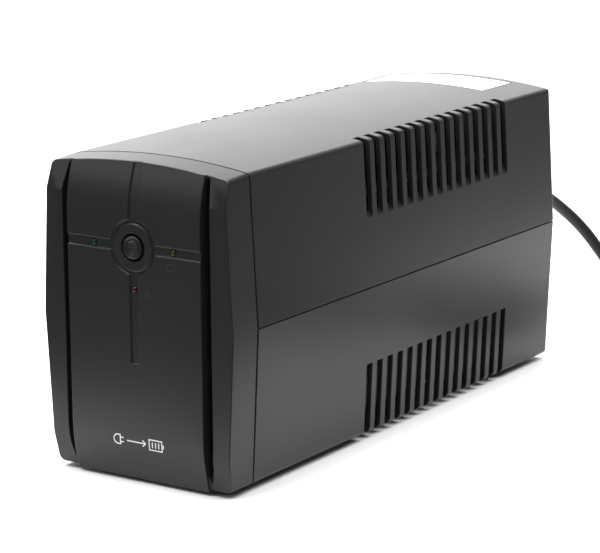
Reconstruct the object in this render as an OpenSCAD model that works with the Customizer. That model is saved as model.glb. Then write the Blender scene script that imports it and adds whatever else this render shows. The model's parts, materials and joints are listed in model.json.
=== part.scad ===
// Small tower uninterruptible power supply with a push button, three lamps,
// two mains outlets, a resettable breaker and a fixed mains lead.
// X is to the right, Y to the back, Z up. The origin is under the housing's middle.

/* [Housing] */
// Width over the parting line
body_w = 101; // [99:0.5:104]
// Depth from the centre panel's face to the rear rim
body_l = 279; // [277:1:283]
// Height to the top of the crown
body_h = 142; // [141:0.5:144]
// Wall thickness
wall = 2.5; // [2:0.1:2.8]
// Height of the parting line
part_z = 72; // [70:0.5:74]
// Draft of both side faces, in degrees
draft = 3.04; // [2.5:0.02:3.5]
// Radius of the top's crown
crown_r = 300; // [280:10:340]
// Height of the underside above the floor
base_z = 2.5; // [2:0.1:3]
// Radius of the long top edges
top_r = 2.5; // [2:0.1:3]
// Radius of the long bottom edges
bottom_r = 3; // [2:0.1:3.5]
// Radius of the rear edges
rear_r = 2; // [1:0.1:2.2]

/* [Front] */
// How far the pillar faces lie behind the centre panel
panel_proud = 1.7; // [1:0.1:2.5]
// Half width of the centre panel
panel_half = 35.4; // [34:0.1:36]
// Distance from the middle to a pillar's inner edge
groove_out = 39; // [38:0.1:40]
// Slope of the bezel's top down to the front, in degrees
front_slope = 3.5; // [3:0.1:4]
// Depth of the grooves beside the panel
groove_depth = 9; // [6:0.5:10]
// Height of the pillars' upper kink
kink_top_z = 126; // [124:0.5:128]
// Height of the pillars' lower kink
kink_low_z = 16.3; // [15:0.1:18]
// Distance from the pillar faces to the seam behind the bezel
seam_back = 18.1; // [17:0.1:20]
// Width of the seam behind the bezel
seam_gap = 0.7; // [0.4:0.1:1]
// Height of the button and of the level arms of the recessed cross
cross_z = 105; // [104:0.5:106]
// Half width of the cross's arms
arm_half = 2.1; // [1.8:0.1:2.4]
// Depth of the recessed cross
cross_depth = 0.8; // [0.5:0.1:1]
// Radius of the recess round the button
ring_r = 12; // [11.5:0.1:12.5]
// Radius of the flush disc inside that recess
disc_r = 10.25; // [9.5:0.05:10.5]
// Distance of the side lamps from the middle
lamp_x = 21; // [19:0.5:23]
// Height of the lower lamp
lamp_low_z = 86.6; // [84:0.2:90]

/* [Vents] */
// Number of slots in each row
vent_count = 15; // [9:1:15]
// Distance from slot to slot
vent_pitch = 8.67; // [8:0.01:8.8]
// Width of a slot
vent_w = 4.65; // [3.5:0.05:5]
// Place of the first slot along Y
vent_first = -29.5; // [-32:0.5:-28]

/* [Moving parts] */
// Radius of the power button
button_r = 5; // [4.8:0.1:5.6]
// Radius of the power button's hole
button_hole_r = 6.1; // [6:0.05:6.4]
// How far the power button stands out of the front
button_proud = 0.6; // [0.3:0.1:1.5]
// Radius of the breaker's reset button
reset_r = 3.4; // [3:0.1:3.4]
// Radius of the bore that guides the reset button
reset_bore_r = 3.75; // [3.75:0.05:4]

/* [Rear] */
// How far the rear panel lies inside the rim
rim_depth = 7; // [6:0.5:8]
// Thickness of the rear panel
plate_t = 2; // [1.5:0.1:2.2]
// Place of both outlets along X
outlet_x = -18.5; // [-19:0.5:-18]
// Height of the lower outlet
outlet_low_z = 45; // [44:0.5:47]
// Distance between the outlets
outlet_pitch = 52; // [50:0.5:53]
// Radius of an outlet's recess
recess_r = 19.8; // [19.6:0.1:20]
// Depth of an outlet's recess
recess_depth = 17.5; // [17:0.1:18]
// Distance between a plug's two pins
pin_pitch = 19; // [19:0.1:19.2]
// Radius of a pin hole
pin_hole_r = 2.6; // [2.5:0.05:2.8]
// Place of the mains lead along X
lead_x = 26; // [25:0.5:27]
// Height of the mains lead
lead_z = 81; // [80:0.5:82]
// Diameter of the mains lead
lead_d = 6; // [5.6:0.1:6]
// Place of the breaker along X
breaker_x = 26; // [24:0.5:28]
// Height of the breaker
breaker_z = 50; // [46:0.5:54]

/* [Inside] */
// Length of the battery
battery_l = 151; // [149:0.5:151]
// Width of the battery
battery_w = 65; // [64:0.5:66]
// Height of the battery's case
battery_h = 94; // [92:0.5:95]
// Width of the transformer's laminations
core_w = 76; // [70:0.5:76]
// Height of the transformer's laminations
core_h = 64; // [60:0.5:66]
// Thickness of the lamination stack
stack_t = 36; // [32:0.5:36]
// Height of the main board's underside
board_z = 112; // [111:0.5:114]

/* [Hidden] */
$fn = 48;

front_y = -body_l / 2;
rear_y = body_l / 2;
pillar_y = front_y + panel_proud;
seam_y = pillar_y + seam_back;
plate_y = rear_y - rim_depth;
outlet_high_z = outlet_low_z + outlet_pitch;
parting_gap = 0.4;
panel_base_z = 1.5;
panel_inner_y = front_y + 4.3;
post_x = 39.3;
post_front_y = -104;
post_rear_y = 92.5;
post_r = 4;
battery_front_y = -112;
battery_base_z = 7.5;
core_y = 66.5;
core_base_z = 8;
core_half = core_w / 2;
yoke = core_w / 6;
coil_half_x = core_w / 3 - 0.6;
coil_half_y = 25;
board_t = 1.6;
board_top = board_z + board_t;
board_half = 42;
board_front_y = -96;
board_back_y = 86;
front_board_y = -124.5;
flange_y = plate_y + 2.5;
recess_floor_y = flange_y - recess_depth;
outlet_back_y = recess_floor_y - 20;
relief_end_y = plate_y + 22;
foot_x = 26;
foot_y = [-108.5, 120];
label_low = [-39.5, 104.2];
label_high = [28.5, 132];
board_boss = [[26, 82], [26, 114]];
board_post_x = 33;
board_post_y = [-88, 78];
button_face_y = front_y - button_proud;
button_back_y = front_y + 8.7;
dish_r = 15;
dish_depth = 0.65;
clip_w = 6;
battery_back_y = battery_front_y + battery_l;
battery_top = battery_base_z + battery_h;
lid_h = 9;
terminal_x = 22;
terminal_y = battery_front_y + 10;
strap_y = -50;
strap_w = 16;
strap_foot_z = 40;
stack_front = core_y - stack_t / 2;
stack_back = core_y + stack_t / 2;
core_top = core_base_z + core_h;
core_screw_x = 24;
core_screw_y = [stack_front - 4.5, stack_back + 4.5];
coil_low = core_base_z + yoke + 1.6;
coil_high = core_top - yoke - 1.6;
sink_x = 30;
wire_z = board_top + 6;
wire_y = 80;

// The free stretch of the mains lead: out of the relief, down to the floor, and on to the coil.
route = [
    [26, 128, 81], [26, 142, 81], [26, 156, 81], [26.2, 163, 80], [26.9, 170, 77.4], [28.3, 177.5, 73],
    [30.8, 184, 67.8], [34.4, 190, 61.6], [39, 195.2, 54], [44.2, 199, 45.4], [49.8, 201.8, 36.6],
    [55.9, 203.6, 28.2], [62.9, 204.8, 20.4], [71, 205.4, 13.6], [80.4, 205.8, 8.2], [91, 206, 4.7],
    [101, 206, 3.3], [109.5, 206, 3]
];
coil_x = 118;
coil_y = 165;
coil_low_r = 41;
coil_turn = 6.1;
tail_route = [
    [coil_x + 37.3, coil_y - 21.5, 9.1], [151.4, 136.4, 8.5], [148.4, 128.9, 7], [146.4, 121.4, 5.8],
    [145.3, 114.4, 5.8], [144.9, 108, 7.2], [144.9, 102.6, 9.3]
];
plug_at = [144.6, 93.4, 12.25];
plug_turn = [0, -18, -92];

// ---- helpers ----
function unit(v) = v / norm(v);
function side_half(z) = body_w / 2 - abs(z - part_z) * tan(draft);
function crown_at(x, inset) = body_h - crown_r + sqrt(pow(crown_r - inset, 2) - x * x);
function arc(c, r, a0, a1, n) = [
    for (i = [0:n])
        let (a = a0 + (a1 - a0) * i / n)
        [c[0] + r * cos(a), c[1] + r * sin(a)]
];
// Points of the round that replaces corner b between a and c
function corner_round(a, b, c, r, n = 6) =
    let (
        u = unit(a - b),
        v = unit(c - b),
        half = acos(u * v) / 2,
        mid = b + unit(u + v) * r / sin(half),
        p = b + u * r / tan(half) - mid,
        q = b + v * r / tan(half) - mid,
        a0 = atan2(p[1], p[0]),
        turn = atan2(p[0] * q[1] - p[1] * q[0], p * q)
    )
    arc(mid, r, a0, a0 + turn, n);
function mirrored(half) = concat(half, [for (i = [len(half) - 1:-1:0]) [-half[i][0], half[i][1]]]);
// The housing's section across Y, drawn in by inset: drafted sides under a crowned top
function section(inset) =
    let (
        low = base_z + inset,
        x_mid = side_half(part_z) - inset,
        z_top = crown_at(side_half(138.3) - inset, inset),
        x_top = side_half(z_top) - inset,
        x_crown = x_top - 7,
        steps = 9
    )
    mirrored(concat(
        corner_round([0, low], [side_half(low) - inset, low], [x_mid, part_z], max(bottom_r - inset, 0.5)),
        [[x_mid, part_z]],
        corner_round(
            [x_mid, part_z], [x_top, z_top], [x_crown, crown_at(x_crown, inset)], max(top_r - inset, 0.5)
        ),
        [for (i = [0:steps - 1]) [x_crown * (1 - i / steps), crown_at(x_crown * (1 - i / steps), inset)]]
    ));
// The centre panel's face, from bottom to top, moved back by dy: upright, rolling back at both ends
function panel_face(dy) = concat(
    [for (i = [8:-1:0]) let (a = 19.5 * i / 8) [front_y + 70 * (1 - cos(a)) + dy, 24 - 70 * sin(a)]],
    [for (i = [0:12]) let (a = 27 * i / 12) [front_y + 60 * (1 - cos(a)) + dy, 116 + 60 * sin(a)]]
);

module along_y(points, y0, y1) {
    translate([0, y1, 0]) rotate([90, 0, 0]) linear_extrude(y1 - y0) polygon(points);
}
module along_x(points, x0, x1) {
    translate([x0, 0, 0]) rotate([90, 0, 90]) linear_extrude(x1 - x0) polygon(points);
}
// A bar between two corners
module bar(low, high) {
    translate(low) cube(high - low);
}
// A round bar along +Y from y0 to y1
module rod_y(x, z, r, y0, y1) {
    translate([x, y1, z]) rotate([90, 0, 0]) cylinder(r = r, h = y1 - y0);
}
module rod_z(x, y, r, z0, z1) {
    translate([x, y, z0]) cylinder(r = r, h = z1 - z0);
}
module both_sides() {
    children();
    mirror([1, 0, 0]) children();
}
// A closed tube swept through route points; lean is a direction that no stretch runs along
module tube(points, r, lean, sides = 8) {
    last = len(points) - 1;
    rings = [
        for (i = [0:last])
            let (
                t = unit(points[min(i + 1, last)] - points[max(i - 1, 0)]),
                u = unit(cross(t, lean)),
                v = cross(t, u)
            )
            for (k = [0:sides - 1]) points[i] + r * (u * cos(360 * k / sides) + v * sin(360 * k / sides))
    ];
    walls = [
        for (i = [0:last - 1])
            for (k = [0:sides - 1])
                let (a = i * sides + k, b = i * sides + (k + 1) % sides)
                for (face = [[b, a, a + sides], [b, a + sides, b + sides]]) face
    ];
    polyhedron(
        points = rings,
        faces = concat(walls, [[for (k = [0:sides - 1]) k], [for (k = [sides - 1:-1:0]) last * sides + k]])
    );
}
// A pan-head screw that points along +Z from its seat; the origin is under its head
module screw(head_r, head_h, shank_r, length) {
    translate([0, 0, -head_h])
        difference() {
            cylinder(r = head_r, h = head_h);
            translate([-head_r * 0.6, -0.4, -1]) cube([head_r * 1.2, 0.8, 1 + head_h * 0.5]);
            translate([-0.4, -head_r * 0.6, -1]) cube([0.8, head_r * 1.2, 1 + head_h * 0.5]);
        }
    cylinder(r = shank_r, h = length);
}

// ---- housing ----
// Cutter that rounds one rear upright edge, for the half above or below the parting line
module rear_edge_cutter(upper) {
    outline = concat(arc([-rear_r, -rear_r], rear_r, 0, 90, 6), [[-rear_r, 1], [1, 1], [1, -rear_r]]);
    translate([body_w / 2, rear_y, part_z]) rotate([0, upper ? -draft : draft, 0])
        translate([0, 0, upper ? -0.1 : -part_z]) linear_extrude(part_z + 0.1) polygon(outline);
}
// Cutter that rounds the underside's rear edge
module rear_base_cutter() {
    low = base_z + bottom_r;
    along_x(concat(arc([rear_y - bottom_r, low], bottom_r, 0, -90, 6), [
        [rear_y - bottom_r, base_z - 1], [rear_y + 1, base_z - 1], [rear_y + 1, low]
    ]), -60, 60);
}
// Cutter that rounds the rear edge of the crowned top
module rear_crown_cutter() {
    outline = concat(arc([crown_r - rear_r, rear_y - rear_r], rear_r, 0, 90, 6),
        [[crown_r - rear_r, rear_y + 1], [crown_r + 1, rear_y + 1], [crown_r + 1, rear_y - rear_r]]);
    translate([0, 0, body_h - crown_r]) rotate([-90, 0, 0]) rotate([0, 0, -101])
        rotate_extrude(angle = 22, $fn = 360) polygon(outline);
}
// The two housing shells without openings, between two heights
module shell_blank(z0, z1) {
    difference() {
        intersection() {
            along_y(section(0), seam_y + seam_gap / 2, rear_y);
            bar([-60, -150, z0], [60, 150, z1]);
        }
        along_y(section(wall), -150, 150);
        both_sides() rear_edge_cutter(z0 > base_z + 10);
    }
    panel_ribs(z0, z1);
}
// Two inward ribs round the section that trap the rear panel between them
module panel_ribs(z0, z1) {
    rib_in = wall + 2;
    for (y0 = [plate_y - plate_t - 2.2, plate_y + 0.2])
        intersection() {
            difference() {
                along_y(section(wall - 0.4), y0, y0 + 2);
                along_y(section(rib_in), y0 - 1, y0 + 3);
            }
            bar([-60, -150, z0], [60, 150, z1]);
        }
}
module upper_vent() {
    tip_x = 41.3;
    outline = [[60, 103.4], [49.2, 103.4], [45.6, 107], [tip_x, 126], [tip_x, 150], [60, 150]];
    along_y(outline, -vent_w / 2, vent_w / 2);
}
module lower_vent() {
    along_y([[60, 36], [43, 36], [41, 12], [41, -5], [60, -5]], -vent_w / 2, vent_w / 2);
}
module vent_row() {
    for (i = [0:vent_count - 1]) translate([0, vent_first + i * vent_pitch, 0]) children();
}
// A plate bent over the crown, from depth d0 to d1 below the surface
module crowned_plate(low, high, d0, d1) {
    steps = 8;
    over = [for (i = [0:steps]) let (x = low[0] + (high[0] - low[0]) * i / steps) [x, crown_at(x, d0)]];
    under = [for (i = [steps:-1:0]) let (x = low[0] + (high[0] - low[0]) * i / steps) [x, crown_at(x, d1)]];
    along_y(concat(over, under), low[1], high[1]);
}
module upper_shell() {
    color([0.1, 0.1, 0.105]) {
        difference() {
            shell_blank(part_z + parting_gap / 2, body_h + 1);
            both_sides() vent_row() upper_vent();
            rear_crown_cutter();
            crowned_plate(label_low - [0.3, 0.3], label_high + [0.3, 0.3], -1, 0.25);
        }
        both_sides() for (y = [post_front_y, post_rear_y]) upper_post(y);
        both_sides() for (y = board_post_y) board_post(y);
    }
}
module upper_post(y) {
    difference() {
        rod_z(post_x, y, post_r, part_z + parting_gap / 2, 137);
        rod_z(post_x, y, 1.6, part_z, part_z + 14);
    }
}
module board_post(y) {
    difference() {
        rod_z(board_post_x, y, 3, board_top, 138.6);
        rod_z(board_post_x, y, 1.3, board_top - 1, board_top + 10);
    }
}
module lower_shell() {
    tongue_z = part_z - 4;
    color([0.1, 0.1, 0.105]) {
        difference() {
            shell_blank(base_z - 1, part_z - parting_gap / 2);
            rear_base_cutter();
            both_sides() vent_row() lower_vent();
            both_sides() for (y = [post_front_y, post_rear_y]) rod_z(post_x, y, 3.4, -1, 20);
            both_sides() for (y = foot_y) rod_z(foot_x, y, 6.8, -1, base_z + 1);
        }
        both_sides() for (y = [post_front_y, post_rear_y]) lower_post(y);
        both_sides() bar([46.7, -112, tongue_z], [47.75, 124, part_z + 3]);
        both_sides() bar([47, -112, tongue_z], [48.6, 124, part_z - parting_gap / 2 - 0.1]);
        both_sides() strap_post();
        both_sides() for (y = core_screw_y) foot_boss(y);
        for (y = [battery_front_y - 1.6, battery_front_y + battery_l + 0.4])
            bar([-20, y, base_z + 1], [20, y + 1.2, 22]);
    }
}
module lower_post(y) {
    difference() {
        rod_z(post_x, y, post_r + 0.6, base_z + 1, part_z - parting_gap / 2);
        rod_z(post_x, y, 3.4, -1, 58);
        rod_z(post_x, y, 1.9, 50, 80);
    }
}
module strap_post() {
    difference() {
        rod_z(post_x, strap_y, post_r, base_z + 1, strap_foot_z);
        rod_z(post_x, strap_y, 1.6, strap_foot_z - 9, strap_foot_z + 1);
    }
}
module foot_boss(y) {
    difference() {
        rod_z(core_screw_x, y, 3.2, base_z + 1, core_base_z);
        rod_z(core_screw_x, y, 1.6, base_z + 3, 20);
    }
}
module housing_screws() {
    color([0.55, 0.55, 0.57])
        both_sides() for (y = [post_front_y, post_rear_y])
            translate([post_x, y, 58]) screw(3, 2.2, 1.5, 26);
}
module rating_label() {
    color([0.93, 0.93, 0.94]) crowned_plate(label_low, label_high, 0, 0.2);
}
module rubber_feet() {
    color([0.06, 0.06, 0.06])
        both_sides() for (y = foot_y) {
            rod_z(foot_x, y, 6.5, 0.4, base_z + 1);
            translate([foot_x, y, 0]) cylinder(r1 = 6.1, r2 = 6.5, h = 0.4);
        }
}

// ---- front ----
module cross_outline() {
    difference() {
        union() {
            translate([0, cross_z]) circle(r = ring_r, $fn = 96);
            translate([-panel_half - 1, cross_z - arm_half]) square([2 * panel_half + 2, 2 * arm_half]);
            translate([-arm_half, 54.2]) square([2 * arm_half, 120]);
        }
        translate([0, cross_z]) circle(r = disc_r, $fn = 96);
    }
}
module cross_recess() {
    back = panel_face(cross_depth);
    intersection() {
        translate([0, -120, 0]) rotate([90, 0, 0]) linear_extrude(40) cross_outline();
        along_x(concat(panel_face(-2), [for (i = [len(back) - 1:-1:0]) back[i]]), -40, 40);
    }
}
// The housing's section as far as the seam, with its top sloping down from there to the front
module bezel_blank() {
    intersection() {
        along_y(section(0), -150, seam_y - seam_gap / 2);
        translate([0, seam_y, body_h]) rotate([front_slope, 0, 0]) translate([0, -seam_y, -body_h])
            along_y(section(0), -170, -90);
    }
}
module centre_panel() {
    intersection() {
        union() {
            bezel_blank();
            bar([-panel_half, -150, panel_base_z], [panel_half, seam_y - seam_gap / 2, 20]);
        }
        bar([-panel_half, -150, panel_base_z], [panel_half, -100, 150]);
        along_x(concat(panel_face(0), [[-100, 143.3], [-100, 0]]), -50, 50);
    }
}
module pillars() {
    intersection() {
        bezel_blank();
        along_x([
            [-100, -1], [pillar_y + 3.75, -1], [pillar_y, kink_low_z], [pillar_y, kink_top_z],
            [pillar_y + 5.5, kink_top_z + 17], [-100, kink_top_z + 17]
        ], -60, 60);
    }
}
// The free space between the centre panel and one pillar
module groove() {
    y_floor = pillar_y + groove_depth;
    intersection() {
        along_y([
            [panel_half, 9], [36.6, 5], [38.4, 12], [groove_out, 22], [groove_out, kink_top_z],
            [37.2, 137.2], [36.5, 137.9], [panel_half, 137.4]
        ], -160, -100);
        along_x([
            [-160, 3], [pillar_y + 1.5, 3], [y_floor - 3, 14], [y_floor, 24], [y_floor, 130],
            [y_floor - 2.5, 137.9], [-160, 141]
        ], 0, 60);
    }
}
module bezel_cavity() {
    difference() {
        intersection() {
            along_y(section(wall), -150, -100);
            along_x([
                [-100, 4], [panel_inner_y + 2.6, 4], [panel_inner_y, 18], [panel_inner_y, 116],
                [panel_inner_y + 3.8, 134], [panel_inner_y + 5.6, 141], [-100, 141]
            ], -60, 60);
        }
        both_sides() bar([panel_half - 2, -150, 0], [groove_out + 2, pillar_y + groove_depth + 2, 150]);
    }
}
// Skirt that slides inside the housing and backs the seam
module bezel_skirt() {
    difference() {
        union() {
            along_y(section(wall - 0.5), seam_y - 4, seam_y - seam_gap / 2);
            along_y(section(wall + 0.2), seam_y - 1, seam_y + 5.7);
        }
        along_y(section(wall + 1.8), seam_y - 5, seam_y + 7);
    }
}
module front_bezel() {
    color([0.085, 0.085, 0.09]) {
        difference() {
            union() {
                pillars();
                centre_panel();
            }
            bezel_cavity();
            both_sides() groove();
            cross_recess();
            rod_y(0, cross_z, button_hole_r, -150, -100);
            both_sides() rod_y(lamp_x, cross_z, 1.6, -150, -100);
            rod_y(0, lamp_low_z, 1.6, -150, -100);
        }
        bezel_skirt();
        both_sides() for (p = board_boss)
            difference() {
                rod_y(p[0], p[1], 2.6, panel_inner_y - 0.5, front_board_y);
                rod_y(p[0], p[1], 1.1, panel_inner_y + 2, front_board_y + 1);
            }
    }
}
module power_button() {
    color([0.09, 0.09, 0.095])
        difference() {
            union() {
                rod_y(0, cross_z, button_r, button_face_y + 0.5, panel_inner_y + 1.3);
                translate([0, button_face_y + 0.5, cross_z]) rotate([90, 0, 0])
                    cylinder(r1 = button_r, r2 = button_r - 0.5, h = 0.5);
                rod_y(0, cross_z, 8, panel_inner_y + 0.3, panel_inner_y + 1.3);
                rod_y(0, cross_z, 2, panel_inner_y + 1, button_back_y);
            }
            translate([0, button_face_y + dish_depth - dish_r, cross_z]) sphere(r = dish_r, $fn = 96);
        }
}
module switch_plunger() {
    color([0.85, 0.85, 0.8]) rod_y(0, cross_z, 1.5, button_back_y, button_back_y + 4);
}
module switch_body() {
    color([0.12, 0.12, 0.13])
        difference() {
            bar([-4, button_back_y + 2, cross_z - 4], [4, front_board_y, cross_z + 4]);
            rod_y(0, cross_z, 1.85, button_back_y, button_back_y + 6.3);
        }
    color([0.75, 0.75, 0.75])
        for (x = [-3, 3], z = [-2.5, 2.5])
            bar([x - 0.3, front_board_y, cross_z + z - 0.3], [x + 0.3, front_board_y + 3, cross_z + z + 0.3]);
}
module front_board() {
    color([0.1, 0.35, 0.15])
        difference() {
            bar([-30, front_board_y, 76], [30, front_board_y + board_t, 119]);
            both_sides() for (p = board_boss) rod_y(p[0], p[1], 1.4, front_board_y - 1, front_board_y + 3);
            for (x = [-3, 3], z = [-2.5, 2.5])
                translate([x, front_board_y + 1, cross_z + z]) cube([0.9, 6, 0.9], center = true);
            both_sides() lamp_leg_space(lamp_x, cross_z);
            lamp_leg_space(0, lamp_low_z);
        }
}
module lamp_leg_space(x, z) {
    for (dx = [-1.27, 1.27])
        translate([x + dx, front_board_y + 1, z]) cube([0.8, 6, 0.8], center = true);
}
module front_board_screws() {
    color([0.6, 0.6, 0.62])
        both_sides() for (p = board_boss)
            translate([p[0], front_board_y + board_t, p[1]]) rotate([90, 0, 0]) screw(2.2, 1.6, 1, 7);
}
// A 3 mm lamp with a domed lens through the panel and two legs to the front board
module lamp(x, z) {
    tip_y = front_y + cross_depth - 0.9;
    translate([x, tip_y + 1.45, z]) sphere(r = 1.45);
    rod_y(x, z, 1.45, tip_y + 1.45, panel_inner_y + 1.2);
    rod_y(x, z, 1.9, panel_inner_y + 0.1, panel_inner_y + 1.2);
    for (dx = [-1.27, 1.27])
        bar([x + dx - 0.25, panel_inner_y + 1, z - 0.25], [x + dx + 0.25, front_board_y + 3, z + 0.25]);
}
module lamp_green() {
    color([0.1, 0.45, 0.2]) lamp(-lamp_x, cross_z);
}
module lamp_amber() {
    color([0.6, 0.45, 0.1]) lamp(lamp_x, cross_z);
}
module lamp_red() {
    color([0.6, 0.08, 0.1]) lamp(0, lamp_low_z);
}
// Flat lead from the front board up to the main board
module panel_ribbon() {
    color([0.6, 0.6, 0.62])
        along_x([
            [front_board_y + board_t, 108], [-118, 108], [-112, 111],
            [-107, 117], [-104, 122], [-100, 124.5], [-93, 125],
            [-93, 126], [-100.5, 125.5], [-105, 123], [-108.2, 117.6], [-113, 112], [-118, 109],
            [front_board_y + board_t, 109]
        ], -7, 7);
}

// ---- rear ----
module rear_panel() {
    color([0.11, 0.11, 0.115])
        difference() {
            along_y(section(wall + 0.2), plate_y - plate_t, plate_y);
            for (z = [outlet_low_z, outlet_high_z]) rod_y(outlet_x, z, 21.2, 100, 150);
            rod_y(lead_x, lead_z, 6.2, 100, 150);
            rod_y(breaker_x, breaker_z, 5.6, 100, 150);
        }
}
module outlet(z) {
    flange = 46;
    color([0.08, 0.08, 0.085])
        translate([outlet_x, 0, z])
            difference() {
                union() {
                    translate([0, flange_y, 0]) rotate([90, 0, 0]) linear_extrude(flange_y - plate_y)
                        polygon(round_square(flange / 2, 3));
                    rod_y(0, 0, 21, outlet_back_y, plate_y);
                }
                rod_y(0, 0, recess_r, recess_floor_y, 150);
                for (x = [-pin_pitch / 2, pin_pitch / 2]) {
                    rod_y(x, 0, pin_hole_r, recess_floor_y - 4, 150);
                    rod_y(x, 0, 3.8, outlet_back_y + 1, recess_floor_y - 4);
                    bar([x - 3.3, outlet_back_y - 1, -0.7], [x + 3.3, outlet_back_y + 2, 0.7]);
                }
                for (s = [-1, 1])
                    translate([0, 0, s * 19.5])
                        bar([-clip_w / 2, outlet_back_y - 1, -1.2], [clip_w / 2, flange_y - 3, 1.2]);
            }
}
function round_square(half, r) = concat(
    arc([half - r, half - r], r, 0, 90, 6), arc([r - half, half - r], r, 90, 180, 6),
    arc([r - half, r - half], r, 180, 270, 6), arc([half - r, r - half], r, 270, 360, 6)
);
module outlet_upper() {
    outlet(outlet_high_z);
}
module outlet_lower() {
    outlet(outlet_low_z);
}
// Brass sleeves that grip a plug's pins, each with a tab out of the outlet's back
module outlet_contacts() {
    color([0.8, 0.65, 0.3])
        for (z = [outlet_low_z, outlet_high_z], x = [-pin_pitch / 2, pin_pitch / 2])
            translate([outlet_x + x, 0, z]) {
                difference() {
                    rod_y(0, 0, 3.4, outlet_back_y + 3, recess_floor_y - 4.2);
                    rod_y(0, 0, 2.83, outlet_back_y + 4, recess_floor_y, $fn = 6);
                    bar([-0.4, outlet_back_y + 4, 0], [0.4, recess_floor_y, 5]);
                }
                bar([-3, outlet_back_y - 4, -0.4], [3, outlet_back_y + 3.4, 0.4]);
            }
}
// Sprung earth clips in the recess, above and below the pins
module outlet_earth_clips() {
    color([0.78, 0.78, 0.8])
        for (z = [outlet_low_z, outlet_high_z], s = [0, 1])
            translate([outlet_x, 0, z]) mirror([0, 0, s])
                along_x([
                    [flange_y - 3.4, 19.3], [flange_y - 7, 17.6], [flange_y - 13, 17.6],
                    [recess_floor_y + 0.2, 18.7],
                    [outlet_back_y - 4, 18.7], [outlet_back_y - 4, 19.5], [recess_floor_y + 1, 19.5],
                    [flange_y - 12.6, 18.4], [flange_y - 7.4, 18.4], [flange_y - 3.4, 20.1]
                ], 0.4 - clip_w / 2, clip_w / 2 - 0.4);
}
module breaker_body() {
    color([0.07, 0.07, 0.07])
        difference() {
            union() {
                bar([breaker_x - 7, 103, breaker_z - 15], [breaker_x + 7, plate_y - plate_t, breaker_z + 15]);
                rod_y(breaker_x, breaker_z, 5.4, plate_y - plate_t - 1, plate_y + 4.5);
            }
            rod_y(breaker_x, breaker_z, reset_bore_r, 126, 150);
        }
    color([0.8, 0.65, 0.3])
        for (s = [-1, 1])
            translate([breaker_x, 0, breaker_z + s * 9]) bar([-3.15, 95, -0.4], [3.15, 103, 0.4]);
}
module breaker_nut() {
    color([0.12, 0.12, 0.12])
        difference() {
            rod_y(breaker_x, breaker_z, 8, plate_y, plate_y + 2.6);
            rod_y(breaker_x, breaker_z, 5.5, 100, 150);
            for (a = [0:15:345])
                translate([breaker_x, plate_y + 0.6, breaker_z]) rotate([0, a, 0]) translate([8.1, 0, 0])
                    rotate([0, 45, 0]) cube([0.9, 6, 0.9], center = true);
        }
}
module reset_button() {
    color([0.1, 0.1, 0.1]) {
        rod_y(breaker_x, breaker_z, reset_r, 127, plate_y + 5.6);
        translate([breaker_x, plate_y + 6.3, breaker_z]) rotate([90, 0, 0])
            cylinder(r1 = 2.8, r2 = reset_r, h = 0.7);
    }
}
module strain_relief() {
    color([0.05, 0.05, 0.05])
        difference() {
            union() {
                rod_y(lead_x, lead_z, 7.6, plate_y - plate_t - 3, plate_y - plate_t);
                rod_y(lead_x, lead_z, 6, plate_y - plate_t - 1, plate_y + 1);
                rod_y(lead_x, lead_z, 8, plate_y, plate_y + 3);
                translate([lead_x, relief_end_y, lead_z]) rotate([90, 0, 0])
                    cylinder(r1 = 3.9, r2 = 5.4, h = relief_end_y - plate_y - 2);
            }
            rod_y(lead_x, lead_z, lead_d / 2 + 0.1, 100, 170);
            for (y = [plate_y + 6:4:plate_y + 18])
                difference() {
                    rod_y(lead_x, lead_z, 7, y, y + 1.5);
                    rod_y(lead_x, lead_z, 3.7, y - 1, y + 3);
                }
        }
}
module power_cord() {
    color([0.06, 0.06, 0.06]) tube(route, lead_d / 2, [-0.7, 0.7, 0], 10);
}
// Outer shape of the coiled lead: four turns and a third in two layers
module cord_coil() {
    r = lead_d / 2;
    outer = coil_low_r;
    inner = coil_low_r - 2 * coil_turn;
    color([0.06, 0.06, 0.06])
        translate([coil_x, coil_y, 0]) rotate_extrude($fn = 96)
            polygon(concat(
                [[inner, 0], [outer, 0]],
                arc([outer, r], r, -45, 45, 3), arc([outer, r + coil_turn], r, -45, 90, 4),
                arc([inner, r + coil_turn], r, 90, 225, 4), arc([inner, r], r, 135, 225, 3)
            ));
}
module cord_tail() {
    color([0.06, 0.06, 0.06]) tube(tail_route, lead_d / 2, [0.2, 0, 1], 10);
}
module place_plug() {
    translate(plug_at) rotate(plug_turn) children();
}
// A moulded plug: round face at x = 26, tapering back to the lead at x = -10
module plug_body() {
    color([0.07, 0.07, 0.07])
        place_plug() difference() {
            union() {
                translate([17, 0, 0]) rotate([0, 90, 0]) cylinder(r = 18.4, h = 9);
                translate([4, 0, 0]) rotate([0, 90, 0]) cylinder(r1 = 9, r2 = 18.4, h = 13);
                translate([-10, 0, 0]) rotate([0, 90, 0]) cylinder(r1 = 4.6, r2 = 9, h = 14);
            }
            for (s = [-1, 1]) {
                translate([20, 0, s * 18]) cube([14, 6, 3.2], center = true);
                translate([20, s * 19, 0]) cube([14, 5, 3], center = true);
            }
        }
}
module plug_pins() {
    color([0.8, 0.8, 0.78])
        place_plug() for (s = [-1, 1]) {
            translate([26, s * pin_pitch / 2, 0]) rotate([0, 90, 0]) cylinder(r = 2.4, h = 18);
            translate([44, s * pin_pitch / 2, 0]) rotate([0, 90, 0]) cylinder(r1 = 2.4, r2 = 1.4, h = 1);
        }
}
module plug_earth_contacts() {
    color([0.8, 0.8, 0.78])
        place_plug() for (s = [-1, 1]) translate([19.9, 0, s * 17.1]) cube([12.2, 5, 1.2], center = true);
}

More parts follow.
